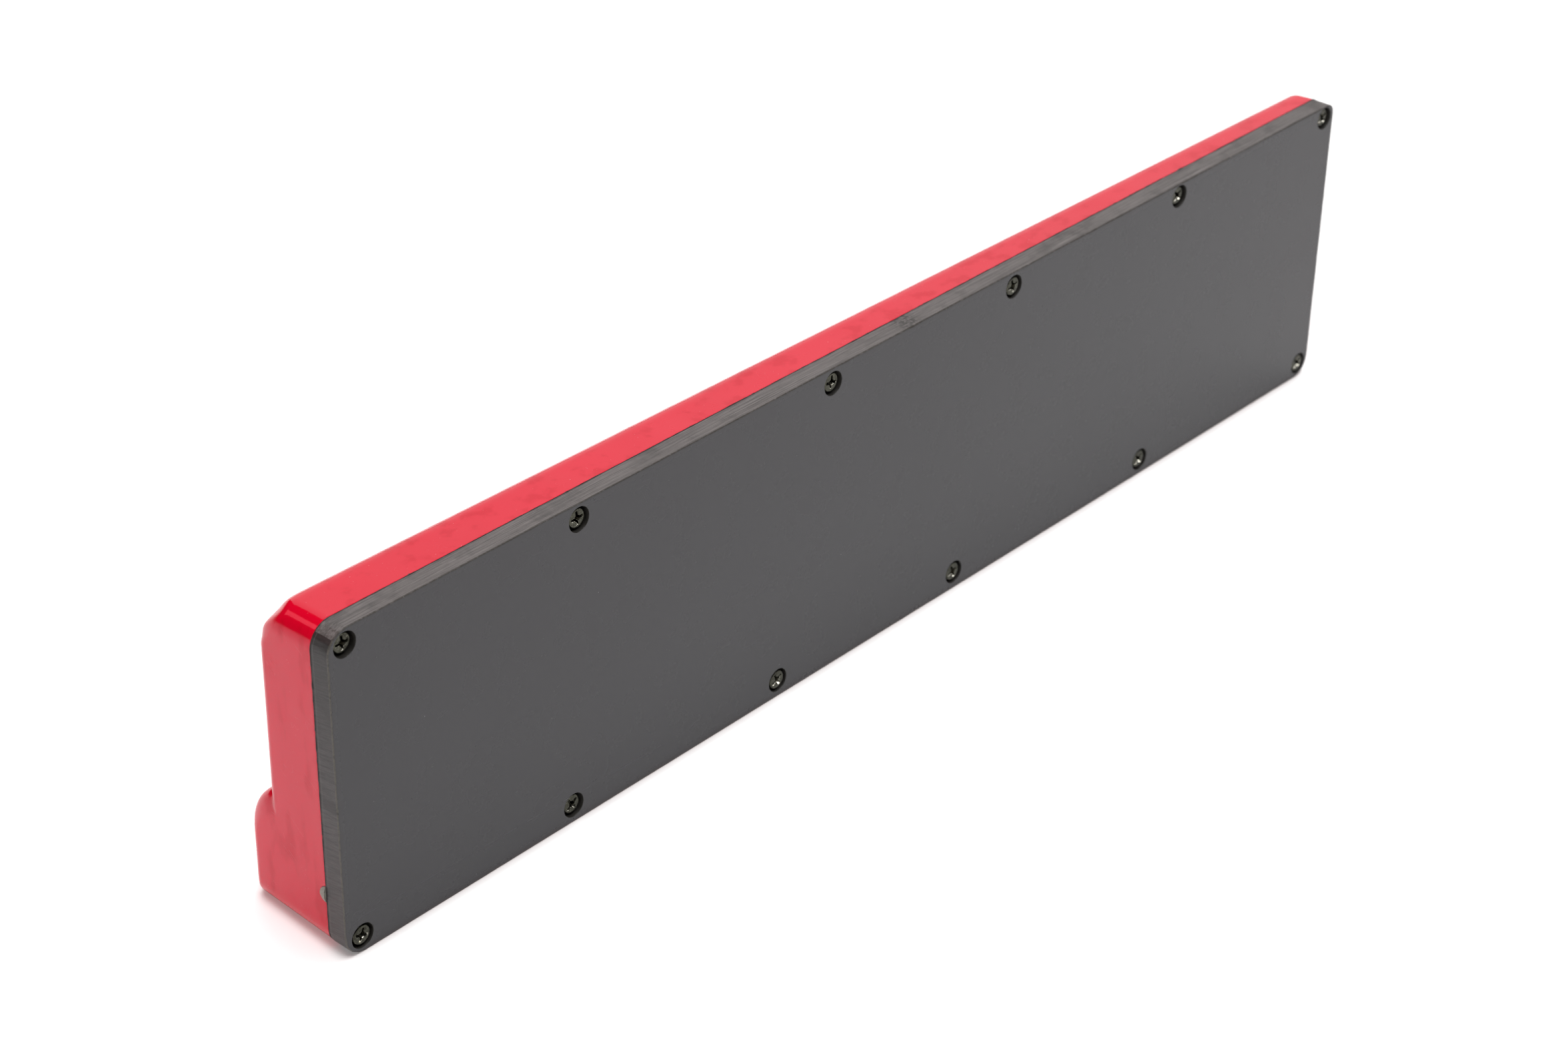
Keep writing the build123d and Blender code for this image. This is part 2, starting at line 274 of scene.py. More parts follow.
def shell_surface(inset, xs, zs, arc_steps=16, wall_steps=9):
    """One skin of the moulding. Returns points, faces and the ring of rim vertices.
    A grid covers the front; spokes lead from its border to the rim outline, and the
    rings along them roll over the edge and run down the wall."""
    x0, x1, z0, z1 = inset, LENGTH - inset, RIM_Z + inset, HEIGHT - inset
    low_l, low_r, top_r, top_l = RIM_R if inset == 0 else (1.0, 1.0, 0.9, RIM_R[3] - inset)
    grid_z0 = z0 + max(FOOT_R - inset, 0.6)
    zs = zs.copy()
    low = zs < LOW_BAND
    zs[low] = grid_z0 + (zs[low] - zs[0]) * (LOW_BAND - grid_z0) / (LOW_BAND - zs[0])
    grid_x0, grid_x1, grid_z1 = xs[0], xs[-1], zs[-1]
    nx, nz = len(xs), len(zs)

    def grid_id(i, j):
        return i * nz + j

    def outline_x(z, right):
        back = corner_setback(z, z0, z1, *((low_r, top_r) if right else (low_l, top_l)))
        return x1 - back if right else x0 + back

    def outline_z(x, top):
        back = corner_setback(x, x0, x1, *((top_l, top_r) if top else (low_l, low_r)))
        return z1 - back if top else z0 + back

    def fan(right, top):
        """Spokes from one corner of the grid, evenly turned, in order round the rim."""
        radius = ((low_l, top_l), (low_r, top_r))[right][top]
        centre_x = x1 - radius if right else x0 + radius
        centre_z = z1 - radius if top else z0 + radius
        sign_x, sign_z = (1 if right else -1), (1 if top else -1)
        arc = np.linspace(0, math.pi / 2, 400)
        xr = np.concatenate([np.full(60, centre_x + sign_x * radius),
                             centre_x + sign_x * radius * np.cos(arc),
                             np.linspace(centre_x, (x0 + x1) / 2, 60)])
        zr = np.concatenate([np.linspace((z0 + z1) / 2, centre_z, 60),
                             centre_z + sign_z * radius * np.sin(arc),
                             np.full(60, centre_z + sign_z * radius)])
        foot_x, foot_z = (grid_x1 if right else grid_x0), (grid_z1 if top else grid_z0)
        angle = np.arctan2(sign_z * (zr - foot_z), sign_x * (xr - foot_x))
        keep = (angle > -0.3) & (angle < math.pi / 2 + 0.3)
        angle, xr, zr = angle[keep], xr[keep], zr[keep]
        order = np.argsort(angle, kind="stable")
        turns = np.linspace(0, math.pi / 2, FAN_STEPS + 1)[1:-1]
        inner = grid_id(nx - 1 if right else 0, nz - 1 if top else 0)
        out = [(x, z, foot_x, foot_z, inner)
               for x, z in zip(np.interp(turns, angle[order], xr[order]),
                               np.interp(turns, angle[order], zr[order]))]
        return out if right == top else out[::-1]

    grid_x, grid_z = np.meshgrid(xs, zs, indexing="ij")
    grid = drafted(grid_x, front_depth(grid_x, grid_z, inset), grid_z).reshape(-1, 3)

    # spokes: rim x, z, grid x, z, grid vertex; anticlockwise from the low left
    spokes = [(x, outline_z(x, 0), x, grid_z0, grid_id(i, 0)) for i, x in enumerate(xs)]
    spokes += fan(1, 0)
    spokes += [(outline_x(z, 1), z, grid_x1, z, grid_id(nx - 1, j)) for j, z in enumerate(zs)]
    spokes += fan(1, 1)
    spokes += [(xs[i], outline_z(xs[i], 1), xs[i], grid_z1, grid_id(i, nz - 1))
               for i in range(nx - 1, -1, -1)]
    spokes += fan(0, 1)
    spokes += [(outline_x(zs[j], 0), zs[j], grid_x0, zs[j], grid_id(0, j))
               for j in range(nz - 1, -1, -1)]
    spokes += fan(0, 0)
    ends = np.array([spoke[:4] for spoke in spokes])
    inner = [spoke[4] for spoke in spokes]
    outer, foot = ends[:, :2], ends[:, 2:]
    reach = np.linalg.norm(foot - outer, axis=1)
    upward = np.clip((outer[:, 1] - foot[:, 1]) / reach, 0, 1)
    side = reach * np.sqrt(1 - upward ** 2)
    round_y = np.where(outer[:, 1] > foot[:, 1] + 1e-6,
                       side + (TOP_Y - inset - side) * upward ** CORNER_BLEND, reach)
    rings = []
    for k in range(1, arc_steps + 1):
        angle = math.pi / 2 * (1 - k / arc_steps)
        place = outer + (foot - outer) * (1 - math.cos(angle))
        front = front_depth(place[:, 0], place[:, 1], inset)
        rings.append((place, front - round_y * (1 - math.sin(angle))))
    wall_y = rings[-1][1]
    for k in range(1, wall_steps + 1):
        rings.append((outer, wall_y + (RIM_Y + 0.34 - wall_y) * k / wall_steps))
    inward = (foot - outer) / reach[:, None]
    # rim: inset along the spoke, distance in front of the rim plane
    lip = ((0, 0.24), (0.05, 0.07), (0.20, 0)) if inset == 0 else ((0, 0.24), (0, 0))
    for back, ahead in lip:
        rings.append((outer + inward * back, np.full(len(outer), RIM_Y + ahead)))
    points = np.concatenate([grid] + [drafted(place[:, 0], y, place[:, 1]) for place, y in rings])

    count = len(spokes)
    faces = []
    for i in range(nx - 1):
        for j in range(nz - 1):
            faces.append((grid_id(i, j), grid_id(i + 1, j), grid_id(i + 1, j + 1),
                          grid_id(i, j + 1)))
    base = len(grid)
    for i in range(count):
        j = (i + 1) % count
        if inner[i] == inner[j]:
            faces.append((inner[i], base + i, base + j))
        else:
            faces.append((inner[i], base + i, base + j, inner[j]))
        for k in range(len(rings) - 1):
            here = base + k * count
            faces.append((here + i, here + count + i, here + count + j, here + j))
    return points, faces, base + (len(rings) - 1) * count + np.arange(count)


def build_shell(outside, inside):
    # distance from the end, and row height: finer over the roundings and the step
    from_end = graded(0, 220, [(9, 0.42), (16, 1.0), (34, 2.5), (MID_X - END_R, 7.0)])
    xs = np.concatenate([END_R + from_end, (LENGTH - END_R - from_end)[::-1][1:]])
    xs = np.unique(np.round(xs, 5))
    zs = graded(RIM_Z + FOOT_R, HEIGHT - TOP_R, [
        (LOW_BAND, 1.7), (27, 2.5), (31, 0.8), (46.2, 0.38), (52, 1.2), (HEIGHT - TOP_R, 3.6)])
    outer, outer_faces, rim = shell_surface(0.0, xs, zs)
    inner, inner_faces, inner_rim = shell_surface(WALL, xs, zs, arc_steps=8, wall_steps=3)
    base = len(outer)
    faces = outer_faces + [tuple(v + base for v in face[::-1]) for face in inner_faces]
    index = [0] * len(outer_faces) + [1] * len(inner_faces)
    for i in range(len(rim)):
        j = (i + 1) % len(rim)
        faces.append((rim[i], inner_rim[i] + base, inner_rim[j] + base, rim[j]))
        index.append(0)
    return make_mesh("front_shell_skin", np.concatenate([outer, inner]), faces,
                     [outside, inside], index, sharp=SHELL_SHARP)


def cut_notch(shell, material):
    """Cuts the round notch through the left end of the shell."""
    points, faces = lathe([(NOTCH_R, -3.0), (NOTCH_R, 6.0)], 64, (0, 0))
    along_x = np.stack([points[:, 1], NOTCH_Y + points[:, 0], NOTCH_Z + points[:, 2]], -1)
    cutter = make_mesh("notch_cutter", along_x, faces, [material])
    boolean = shell.modifiers.new("notch", "BOOLEAN")
    boolean.operation, boolean.solver, boolean.object = "DIFFERENCE", "EXACT", cutter
    depsgraph = bpy.context.evaluated_depsgraph_get()
    mesh = bpy.data.meshes.new_from_object(shell.evaluated_get(depsgraph))
    shell.modifiers.clear()
    mesh.name = shell.data.name + "_cut"
    shell.data = mesh
    bpy.data.objects.remove(cutter)
    shade_smooth(mesh, SHELL_SHARP)


def build_bosses(material):
    """Screw bosses inside the shell, one behind each hole of the cover."""
    parts, faces, base = [], [], 0
    for x, z, *_ in SCREWS:
        end = min(15.2, UPPER - TAPER * x - WALL - 0.5)
        profile = [                         # radius, y
            (2.1, end), (2.25, end - 0.15), (3.35, 11.9), (3.35, RIM_Y + 0.15),
            (3.25, RIM_Y + 0.02), (2.2, RIM_Y + 0.02), (2.12, RIM_Y + 0.1), (2.12, 11.6),
            (1.62, 11.7), (1.62, min(13.8, end - 1.2))]
        points, part_faces = lathe(profile, 40, (x, z), base)
        parts.append(points)
        faces += part_faces
        base += len(points)
    return make_mesh("front_shell_bosses", np.concatenate(parts), faces, [material], sharp=35)


# ----------------------------------------------------------------------------
# rear cover: plastic sheet with uneven edges and counterbored holes
# ----------------------------------------------------------------------------
COVER_R = (6.6, 6.8, 3.6, 6.6)              # low left, low right, top right, top left
# corner centre x, z, radius, start angle, ends of the flats in degrees from the start
FACETED = (
    (COVER_R[3], HEIGHT - COVER_R[3], COVER_R[3], 90, np.array([0, 21, 39, 58, 74, 90.0])),
    (COVER_R[0], COVER_R[0], COVER_R[0], 180, np.array([0, 24, 47, 69, 90.0])))
FACET_SHARE = 0.75                          # 1 would make the facets fully flat
# nicks in the outer arris: place along the edge, width, depth
TOP_NICKS = ((16.2, 0.9, 0.16), (57.0, 0.6, 0.10), (124.0, 0.7, 0.12), (223.5, 1.6, 0.20),
             (226.4, 0.9, 0.14), (301.0, 0.6, 0.1))
LEFT_NICKS = ((88.6, 0.7, 0.16), (61.0, 0.7, 0.12), (47.5, 0.8, 0.16), (41.0, 0.6, 0.12),
              (6.0, 0.8, 0.15))
CHIPPED = len(TOP_ROW) + len(LOW_ROW) + 2   # the low left bore has chips in its rim
CHIPS = ((0.35, 0.13, 0.16), (0.95, 0.10, 0.10), (1.9, 0.12, 0.08))   # angle, width, depth
HOLE_STEPS = 72
HOLE_PROFILE = [                            # radius, y
    (BORE_R + 0.13, 0.0), (BORE_R + 0.07, 0.0), (BORE_R + 0.025, 0.03), (BORE_R, 0.10),
    (BORE_R, 1.2), (BORE_R, 2.3), (BORE_R, BORE_DEPTH - 0.16),
    (BORE_R - 0.05, BORE_DEPTH - 0.04), (BORE_R - 0.17, BORE_DEPTH), (BORE_R - 0.5, BORE_DEPTH),
    (CLEAR_R + 0.4, BORE_DEPTH), (CLEAR_R + 0.1, BORE_DEPTH), (CLEAR_R, BORE_DEPTH + 0.1),
    (CLEAR_R, THICK - 0.1), (CLEAR_R + 0.1, THICK), (CLEAR_R + 0.5, THICK)]
FACE, END, LONG_EDGE, BORE = range(4)       # material slots of the cover


def corner_facets(points):
    """Offset that flattens the two left corners into short facets."""
    offset = np.zeros(len(points))
    for x, z, radius, start, cuts in FACETED:
        turn = np.degrees(np.arctan2(points[:, 1] - z, points[:, 0] - x)) % 360
        inside = (turn >= start) & (turn <= start + 90)
        angle = np.clip(turn - start, 0, 90)
        part = np.clip(np.searchsorted(cuts, angle, side="right") - 1, 0, len(cuts) - 2)
        middle = (cuts[part] + cuts[part + 1]) / 2
        half = np.radians((cuts[part + 1] - cuts[part]) / 2)
        flat = radius * np.cos(half) / np.cos(np.radians(angle - middle)) - radius
        offset += np.where(inside, FACET_SHARE * flat, 0)
    return offset


def edge_rows():
    """Rings of the cover's edge from its outer face to its inner face, and the normals."""
    points, normals, along = rounded_loop(0, COVER_R, 1.1)
    wander = 0.035 * wobble(along / 9.0, seed=3) + 0.018 * wobble(along / 2.3, seed=5)
    offset = np.minimum(wander, 0) + corner_facets(points)      # wanders inwards only
    nick = np.zeros(len(points))
    for on_edge, place, nicks in ((points[:, 1] > HEIGHT - 0.5, points[:, 0], TOP_NICKS),
                                  (points[:, 0] < 0.8, points[:, 1], LEFT_NICKS)):
        for centre, width, depth in nicks:
            nick += np.where(on_edge, depth * bell(place, centre, width), 0)
    arris = (0.25 + 0.05 * wobble(along / 3.1, seed=9)
             + 0.03 * wobble(along / 0.9, seed=11) + nick)
    # the worn arris stops short of the bores
    edge = points + normals * offset[:, None]
    to_screws = [np.hypot(edge[:, 0] - x, edge[:, 1] - z) for x, z, *_ in SCREWS]
    land = np.min(to_screws, axis=0) - BORE_R - 0.20
    reach = np.clip(arris + 0.40, 0.06, np.maximum(land, 0.06))
    arris = np.minimum(arris, reach * 0.62)

    def ring(inset, y):
        place = points + normals * (offset - inset)[:, None]
        return np.stack([place[:, 0], np.broadcast_to(y, (len(points),)), place[:, 1]], -1)

    rows = [ring(reach, 0.0), ring(arris + 0.02, 0.0)]
    for inset, depth in ((0.62, 0.10), (0.25, 0.38), (0.04, 0.80), (0.0, 1.25)):
        rows.append(ring(arris * inset, arris * depth))
    for y in (1.3, 2.3, 3.4, 4.5, 5.5, 6.1):
        ripple = (0.012 * wobble(along / 0.8 + y * 1.3, seed=21)
                  + 0.012 * wobble(along / 2.7 + y * 0.6, seed=22))
        rows.append(ring(0.014 - ripple, y))
    for inset, before in ((0.02, 0.14), (0.05, 0.04), (0.14, 0.0), (0.8, 0.0)):
        rows.append(ring(inset, THICK - before))
    return rows, normals


def hole_rows(number):
    x, z, *_ = SCREWS[number]
    angles = turn_angles(HOLE_STEPS)
    burr = 0.012 * wobble(np.arange(HOLE_STEPS) / 3.0, 40 + number)
    rows = []
    for k, (radius, y) in enumerate(HOLE_PROFILE):
        rough = burr if 1 <= k <= 6 else 0
        if k in (1, 2) and number == CHIPPED:
            for centre, width, depth in CHIPS:
                rough = rough + depth * bell(angles, centre, width)
        rows.append(circle((x, z), radius + rough, y, angles))
    return rows


def fill_sheet(points, loop, holes):
    """Triangles between the outline and the holes."""
    ids = list(loop)
    owner = [-1] * len(loop)
    edges = [(i, (i + 1) % len(loop)) for i in range(len(loop))]
    for number, hole in enumerate(holes):
        base = len(ids)
        ids += hole
        owner += [number] * len(hole)
        edges += [(base + i, base + (i + 1) % len(hole)) for i in range(len(hole))]
    flat = [Vector((points[i][0], points[i][2])) for i in ids]
    spots, _, triangles, sources, _, _ = geometry.delaunay_2d_cdt(flat, edges, [], 0, 1e-7)
    source = {i: found[0] for i, found in enumerate(sources) if found}
    here = np.array([[points[i][0], points[i][2]] for i in loop])
    there = np.roll(here, -1, 0)
    faces = []
    for triangle in triangles:
        mid = sum((spots[v] for v in triangle), Vector((0, 0))) / 3
        owners = {owner[source[v]] for v in triangle}
        if len(owners) == 1 and owners != {-1}:                 # inside a hole
            continue
        if min(mid.x, LENGTH - mid.x, mid.y, HEIGHT - mid.y) < 8:
            spans = (here[:, 1] > mid.y) != (there[:, 1] > mid.y)
            crossing = ((there[:, 0] - here[:, 0]) * (mid.y - here[:, 1])
                        / (there[:, 1] - here[:, 1] + 1e-15) + here[:, 0])
            if int((spans & (mid.x < crossing)).sum()) % 2 == 0:   # outside the outline
                continue
        faces.append(tuple(ids[source[v]] for v in triangle))
    return faces


def build_cover(materials):
    rows, normals = edge_rows()
    count = len(normals)
    long_side = np.abs(normals[:, 1]) > 0.72
    faces = ring_faces(len(rows), count)
    index = []
    for k in range(len(rows) - 1):
        on_face = k in (0, len(rows) - 2)
        index += [FACE if on_face else LONG_EDGE if flag else END for flag in long_side]
    last = (len(rows) - 1) * count
    outlines = (list(range(count)), [last + i for i in range(count)])
    base = len(rows) * count
    rings = len(HOLE_PROFILE)
    hole_ends = ([], [])
    for number in range(len(SCREWS)):
        rows += hole_rows(number)
        faces += ring_faces(rings, HOLE_STEPS, base)
        for k in range(rings - 1):
            index += [FACE if k in (0, rings - 2) else BORE] * HOLE_STEPS
        for ends, ring in zip(hole_ends, (0, rings - 1)):
            ends.append([base + ring * HOLE_STEPS + i for i in range(HOLE_STEPS)])
        base += rings * HOLE_STEPS
    points = np.concatenate(rows)
    for outline, holes in zip(outlines, hole_ends):
        faces += fill_sheet(points, outline, holes)
    index += [FACE] * (len(faces) - len(index))
    return make_mesh("rear_cover_sheet", points, faces, materials, index, sharp=50)


# ----------------------------------------------------------------------------
# sealant bead in the joint, and the plug in the notch
# ----------------------------------------------------------------------------
def build_seal(material):
    points, normals, along = rounded_loop(RIM_Z, RIM_R, 0.55)
    half = (0.095 + 0.035 * (wobble(along / 1.7, seed=61) + 1)
            + 0.03 * (wobble(along / 0.7, seed=62) + 1))
    out = -0.10 + 0.06 * wobble(along / 2.1, seed=63) + 0.04 * wobble(along / 6.0, seed=64)
    blob = np.clip(wobble(along / 1.15, seed=65) - 0.72, 0, 1) * 3.0
    half = half + 0.13 * blob
    out = out + 0.14 * blob
    middle = (0.5 * (THICK + RIM_Y) + 0.03 * wobble(along / 4.0, seed=66)
              + 0.05 * blob * wobble(along / 3.0, seed=67))
    around = 12
    rows = []
    for k in range(around):
        angle = 2 * math.pi * k / around
        bulge = np.where(math.cos(angle) > 0, 0.16, 0.9) * math.cos(angle)
        place = points + normals * (out + bulge)[:, None]
        rows.append(np.stack([place[:, 0], middle + half * math.sin(angle), place[:, 1]], -1))
    faces = ring_faces(around, len(points), closed=True)
    return make_mesh("rim_sealant", np.concatenate(rows), faces, [material], sharp=80)


def build_plug(material):
    """Short plug along x with a crowned outer end, flattened where it meets the cover."""
    radius = NOTCH_R - 0.16
    crown_steps, around = 18, 64
    angles = turn_angles(around)
    profile = []                            # radius, x
    for k in range(crown_steps + 1):
        angle = k / crown_steps * math.pi / 2
        profile.append((radius * math.sin(angle), -0.10 - 0.62 * math.cos(angle) ** 1.3))
    profile += [(radius, 0.5), (radius, 1.5), (radius * 0.97, 2.6), (radius * 0.90, 2.9),
                (0.0, 2.9)]
    uneven = 1 + 0.02 * np.cos(3 * angles + 1) + 0.012 * np.cos(5 * angles)
    flat = RIM_Y + 0.02
    rows = []
    for ring_r, x in profile:
        y = NOTCH_Y + 0.35 + ring_r * np.cos(angles) * uneven
        z = NOTCH_Z - 0.12 + ring_r * np.sin(angles) * uneven
        y = flat + np.logaddexp(0, (y - flat) * 9.0) / 9.0 - 0.02
        lump = 0.04 * np.sin(z * 2.3) * np.cos(y * 3.1)
        rows.append(np.stack([np.full(around, x) + lump * (x < 0), y, z], -1))
    plug = make_mesh("cable_notch_plug", np.concatenate(rows), ring_faces(len(rows), around),
                     [material], sharp=60)
    bm = bmesh.new()
    bm.from_mesh(plug.data)
    bmesh.ops.remove_doubles(bm, verts=bm.verts[:], dist=2e-6)
    bmesh.ops.dissolve_degenerate(bm, edges=bm.edges[:], dist=1e-6)
    bmesh.ops.recalc_face_normals(bm, faces=bm.faces[:])
    bm.to_mesh(plug.data)
    bm.free()
    return plug


# ----------------------------------------------------------------------------
# screws: low domed heads with a cross recess, threaded shanks
# ----------------------------------------------------------------------------
SCREW_STEPS = 240
HEAD_R, HEAD_TOP_R = 3.0, 2.5               # the head, and where its edge starts to round
HEAD_RADII = np.concatenate([[0.02], np.arange(0.07, 2.52, 0.062),
                             [2.56, 2.66, 2.76, 2.84, 2.91, 2.955, 2.985, HEAD_R]])
HEAD_DEPTH, SHANK_LENGTH = 2.2, 10.0
CREST_R, ROOT_R, HALF_PITCH = 1.5, 1.24, 0.25
RECESS_SOFT = 0.06                          # rounding of the recess's rim


def wing(across, along):
    """Depth of one wing of the recess, before its floor."""
    side = (0.50 - across - 0.05 * along) * 4.2
    end = (2.16 - along) * 2.1
    return np.minimum(side, end)


def screw_points(x, z, sink, turn):
    """Points of one screw, and which faces of its head lie in the recess."""
    angles = turn_angles(SCREW_STEPS)
    radius, angle = np.meshgrid(HEAD_RADII, angles, indexing="ij")
    dome = 0.07 * (radius / HEAD_TOP_R) ** 2
    edge = np.clip((radius - HEAD_TOP_R) / (HEAD_R - HEAD_TOP_R), 0, 1)
    dome += 0.42 * (1 - np.sqrt(np.maximum(1 - edge ** 2, 0)))
    turned = angle - math.radians(turn)
    across, along = np.abs(radius * np.cos(turned)), np.abs(radius * np.sin(turned))
    cone = (1.12 - (across + along) * 0.78) * 3.0
    depth = np.maximum(np.maximum(wing(across, along), wing(along, across)), cone)
    depth = np.clip(depth, -0.5, None)
    soft = (depth + RECESS_SOFT) ** 2 / (4 * RECESS_SOFT)
    depth = np.where(depth > RECESS_SOFT, depth, np.where(depth < -RECESS_SOFT, 0.0, soft))
    depth = np.minimum(depth, 1.55 - 0.12 * radius)
    head = circle((x, z), radius, sink + dome + depth, angle).reshape(-1, 3)

    seat = BORE_DEPTH
    profile = [(HEAD_R, min(sink + 0.9, seat - 0.4)), (2.98, seat - 0.12), (2.86, seat),
               (1.62, seat), (CREST_R, seat + 0.12)]
    tip = sink + HEAD_DEPTH + SHANK_LENGTH
    y = seat + 0.3
    crest = False
    while y < tip - 0.5:                    # thread: alternating root and crest
        profile.append((CREST_R if crest else ROOT_R, y))
        y += HALF_PITCH
        crest = not crest
    profile += [(1.2, tip - 0.2), (1.0, tip)]
    shank = [circle((x, z), ring_r, ring_y, angles) for ring_r, ring_y in profile]
    rings = len(HEAD_RADII) + len(profile)
    recess = np.zeros((rings - 1, SCREW_STEPS), int)
    recess[:len(HEAD_RADII) - 1] = depth[:-1] > 0.10
    return np.concatenate([head] + shank), rings, recess.reshape(-1)


def build_screws(name, group, materials):
    parts, faces, index, base = [], [], [], 0
    for screw in group:
        points, rings, recess = screw_points(*screw)
        parts.append(points)
        faces += capped_faces(rings, SCREW_STEPS, base)
        index += recess.tolist() + [1, 0]
        base += len(points)
    return make_mesh(name, np.concatenate(parts), faces, materials, index, sharp=60)


# ----------------------------------------------------------------------------
# procedural materials
# ----------------------------------------------------------------------------
def new_node(tree, kind, **settings):
    made = tree.nodes.new(kind)
    for key, value in settings.items():
        setattr(made, key, value)
    return made


def put(tree, socket, value):
    """Links a socket, or sets a number or an RGB colour."""
    if hasattr(value, "is_output"):
        tree.links.new(value, socket)
    elif isinstance(value, tuple):
        socket.default_value = (*value, 1)
    else:
        socket.default_value = value


class Material:
    """A Principled material whose patterns are laid out in the mesh code's mm."""
    INPUTS = {"color": "Base Color", "rough": "Roughness", "metal": "Metallic", "ior": "IOR",
              "spec": "Specular IOR Level", "tint": "Specular Tint", "normal": "Normal"}

    def __init__(self, name):
        self.material = bpy.data.materials.new(name)
        self.material.use_nodes = True
        self.tree = self.material.node_tree
        self.tree.nodes.clear()
        out = self.add("ShaderNodeOutputMaterial")
        self.bsdf = self.add("ShaderNodeBsdfPrincipled")
        self.put(out.inputs[0], self.bsdf.outputs[0])
        place = self.add("ShaderNodeTexCoord")
        to_mm = self.add("ShaderNodeVectorMath", operation="MULTIPLY_ADD")
        to_mm.inputs[1].default_value = (1000, 1000, 1000)
        to_mm.inputs[2].default_value = tuple(-ORIGIN * 1000)
        self.put(to_mm.inputs[0], place.outputs["Object"])
        self.place = to_mm.outputs[0]

    def add(self, kind, **settings):
        return new_node(self.tree, kind, **settings)

    def put(self, socket, value):
        put(self.tree, socket, value)

    def axes(self, vector=None):
        """x, y, z of a vector, or of the place in mm."""
        split = self.add("ShaderNodeSeparateXYZ")
        self.put(split.inputs[0], vector or self.place)
        return split.outputs

    def math(self, operation, first, second=0.0, clamp=False):
        made = self.add("ShaderNodeMath", operation=operation, use_clamp=clamp)
        for socket, value in zip(made.inputs, (first, second, 0.0)):
            self.put(socket, value)
        return made.outputs[0]

    def plus(self, first, second, clamp=False):
        return self.math("ADD", first, second, clamp)

    def minus(self, first, second):
        return self.math("SUBTRACT", first, second)

    def times(self, first, second):
        return self.math("MULTIPLY", first, second)

    def least(self, first, second):
        return self.math("MINIMUM", first, second)

    def most(self, first, second, clamp=False):
        return self.math("MAXIMUM", first, second, clamp)

    def weighted(self, total, *layers):
        """total plus each (mask, weight) layer; the last sum is clamped."""
        for k, (mask, weight) in enumerate(layers):
            total = self.plus(total, self.times(mask, weight), clamp=k == len(layers) - 1)
        return total

    def coords(self, scale=(1, 1, 1), turn=(0, 0, 0), shift=(0, 0, 0), source=None):
        made = self.add("ShaderNodeMapping")
        self.put(made.inputs["Vector"], source or self.place)
        made.inputs["Location"].default_value = shift
        made.inputs["Rotation"].default_value = turn
        made.inputs["Scale"].default_value = scale
        return made.outputs[0]

    def noise(self, scale, detail=3, rough=0.55, at=None):
        made = self.add("ShaderNodeTexNoise")
        self.put(made.inputs["Vector"], at or self.place)
        made.inputs["Scale"].default_value = scale
        made.inputs["Detail"].default_value = detail
        made.inputs["Roughness"].default_value = rough
        return made.outputs[0]

    def fade(self, value, over, to=(0.0, 1.0)):
        """Smooth step: value runs over the first pair, the result over the second."""
        made = self.add("ShaderNodeMapRange", interpolation_type="SMOOTHSTEP")
        for socket, number in zip(made.inputs, (value, *over, *to)):
            self.put(socket, number)
        return made.outputs[0]

    def band(self, value, centre, over):
        """Fades with the distance of value from centre."""
        return self.fade(self.math("ABSOLUTE", self.minus(value, centre)), over)

    def mix(self, mask, low, high):
        made = self.add("ShaderNodeMix", data_type="RGBA")
        for slot, value in ((0, mask), (6, low), (7, high)):
            self.put(made.inputs[slot], value)
        return made.outputs[2]

    def stain(self, color, mask, share, tone):
        """Moves color towards tone where mask is 1, by at most share."""
        return self.mix(self.times(mask, share), color, tone)

    def bump(self, height, depth, normal=None):
        """Bump of depth mm, on top of another normal if one is given."""
        made = self.add("ShaderNodeBump")
        made.inputs["Distance"].default_value = depth * MM
        self.put(made.inputs["Height"], height)
        if normal is not None:
            self.put(made.inputs["Normal"], normal)
        return made.outputs[0]

    def specks(self, scale, size, share, seed):
        """Sparse round dots, 1 in a dot. size is in mm; share of the cells hold one."""
        cells = self.add("ShaderNodeTexVoronoi")
        self.put(cells.inputs["Vector"], self.coords(shift=(seed, seed * 0.7, seed * 1.3)))
        cells.inputs["Scale"].default_value = scale
        dot = self.fade(cells.outputs["Distance"], over=(size * scale, size * scale * 0.45))
        pick = self.add("ShaderNodeSeparateColor")
        self.put(pick.inputs[0], cells.outputs["Color"])
        return self.times(dot, self.math("LESS_THAN", pick.outputs[0], share))

    def scratches(self, scale, angle, width, share, seed, plane="XZ"):
        """Thin broken lines, 1 on a line."""
        turn, stretch = {"XZ": ((0, angle, 0), (0.05, 1, 1)),
                         "YZ": ((angle, 0, 0), (1, 0.05, 1))}[plane]
        turned = self.coords(turn=turn, shift=(seed, seed, seed))
        lines = self.noise(scale, detail=1, rough=0.5,
                           at=self.coords(scale=stretch, source=turned))
        gaps = self.noise(scale * 0.35, detail=2, rough=0.5,
                          at=self.coords(shift=(seed * 3, 5, 9)))
        rarity = (0.5 - share) * 0.5
        return self.times(self.band(lines, 0.5, over=(width, 0.0)),
                          self.fade(gaps, over=(0.5 + rarity, 0.56 + rarity)))

    def finish(self, **looks):
        for key, value in looks.items():
            self.put(self.bsdf.inputs[self.INPUTS[key]], value)
        return self.material


